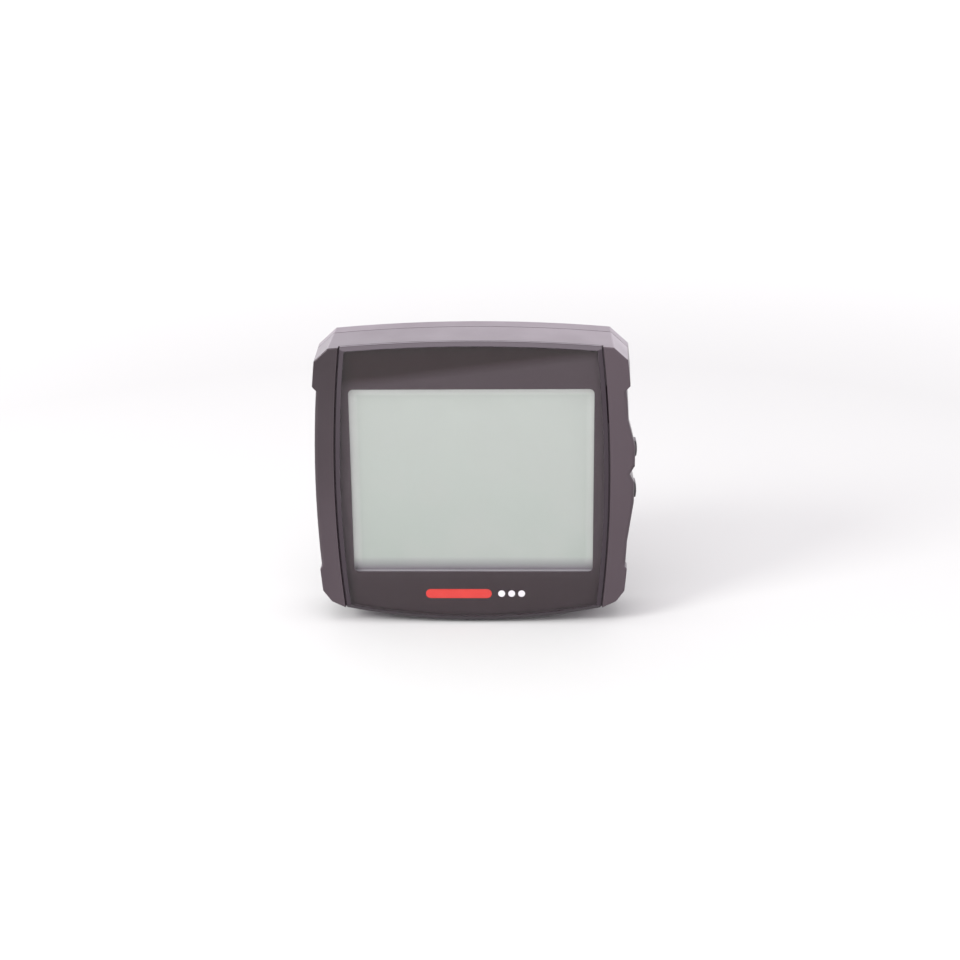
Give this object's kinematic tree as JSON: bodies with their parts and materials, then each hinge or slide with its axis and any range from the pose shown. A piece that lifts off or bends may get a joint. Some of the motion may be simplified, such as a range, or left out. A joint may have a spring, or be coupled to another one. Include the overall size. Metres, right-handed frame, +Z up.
{
  "type": "motorcycle instrument cluster",
  "caption": "Flat digital instrument for a motorcycle handlebar, with a barrel-shaped glossy window, a blank reflective display and sprung push buttons in one side wall.",
  "frame": {"origin": "middle of the two threaded mounting inserts, on the plane of their seats at the back", "axes": "+Z up, +X to the rider's right where the buttons are, +Y away from the rider, out of the back"},
  "size_m": [0.0928, 0.0241, 0.0854],
  "materials": {
    "case_plastic": "fine satin black moulded plastic",
    "cover_plastic": "fine satin black moulded plastic",
    "seal_rubber": "matt",
    "clear_panel": "polished clear acrylic",
    "foam_tape": "black foam tape",
    "mask_ink": "even black print",
    "accent_ink": "even print",
    "white_ink": "even print",
    "display_face": "anti-glare film",
    "display_glass": "clear float glass",
    "rear_film": "pearl reflective film",
    "white_film": "white film",
    "guide_acrylic": "clear acrylic with printed dots",
    "tray_plastic": "white moulded plastic",
    "circuit_board": "green solder resist",
    "diode_resin": "yellow-white resin",
    "contact_rubber": "layered silicone",
    "chip_resin": "moulded epoxy",
    "tinned_metal": "drawn can",
    "chip_ceramic": "fired ceramic",
    "nylon": "natural nylon",
    "brass": "turned",
    "button_plastic": "fine satin black moulded plastic",
    "silicone": "matt silicone",
    "plunger_plastic": "moulded plastic",
    "screw_steel": "zinc plated",
    "label_foil": "plain foil"
  },
  "bodies": {
    "housing": {"front_case": "case_plastic", "rear_case": "cover_plastic", "case_gasket": "seal_rubber", "front_lens": "clear_panel", "lens_tape": "foam_tape", "window_mask": "mask_ink", "printed_bar": "accent_ink", "printed_dots": "white_ink", "front_polarizer": "display_face", "lcd_front_glass": "display_glass", "lcd_rear_glass": "display_glass", "rear_polarizer": "rear_film", "diffuser_film": "white_film", "light_guide": "guide_acrylic", "reflector_film": "white_film", "display_tray": "tray_plastic", "backlight_strip": "circuit_board", "backlight_leds": "diode_resin", "contact_strip": "contact_rubber", "main_board": "circuit_board", "processor_chip": "chip_resin", "memory_chip": "chip_resin", "voltage_regulator": "chip_resin", "quartz_crystal": "tinned_metal", "filter_capacitors": "tinned_metal", "chip_parts": "chip_ceramic", "wire_header": "nylon", "header_pins": "brass", "switch_housings": "chip_resin", "switch_covers": "tinned_metal", "select_boot": "silicone", "adjust_boot": "silicone", "case_screws": "screw_steel", "board_screws": "screw_steel", "mount_inserts": "brass", "cable_grommet": "seal_rubber", "blank_label": "label_foil"},
    "select": {"select_button": "button_plastic", "select_plunger": "plunger_plastic"},
    "adjust": {"adjust_button": "button_plastic", "adjust_plunger": "plunger_plastic"}
  },
  "joints": [
    {"name": "select_press", "type": "slide", "parent": "housing", "child": "select", "axis": [-1, 0, 0], "range_m": [0, 0.0005], "stiffness_N_per_m": 1000, "springref_m": -0.0005, "deforming": ["select_boot"]},
    {"name": "adjust_press", "type": "slide", "parent": "housing", "child": "adjust", "axis": [-1, 0, 0], "range_m": [0, 0.0005], "stiffness_N_per_m": 1000, "springref_m": -0.0005, "deforming": ["adjust_boot"]}
  ]
}
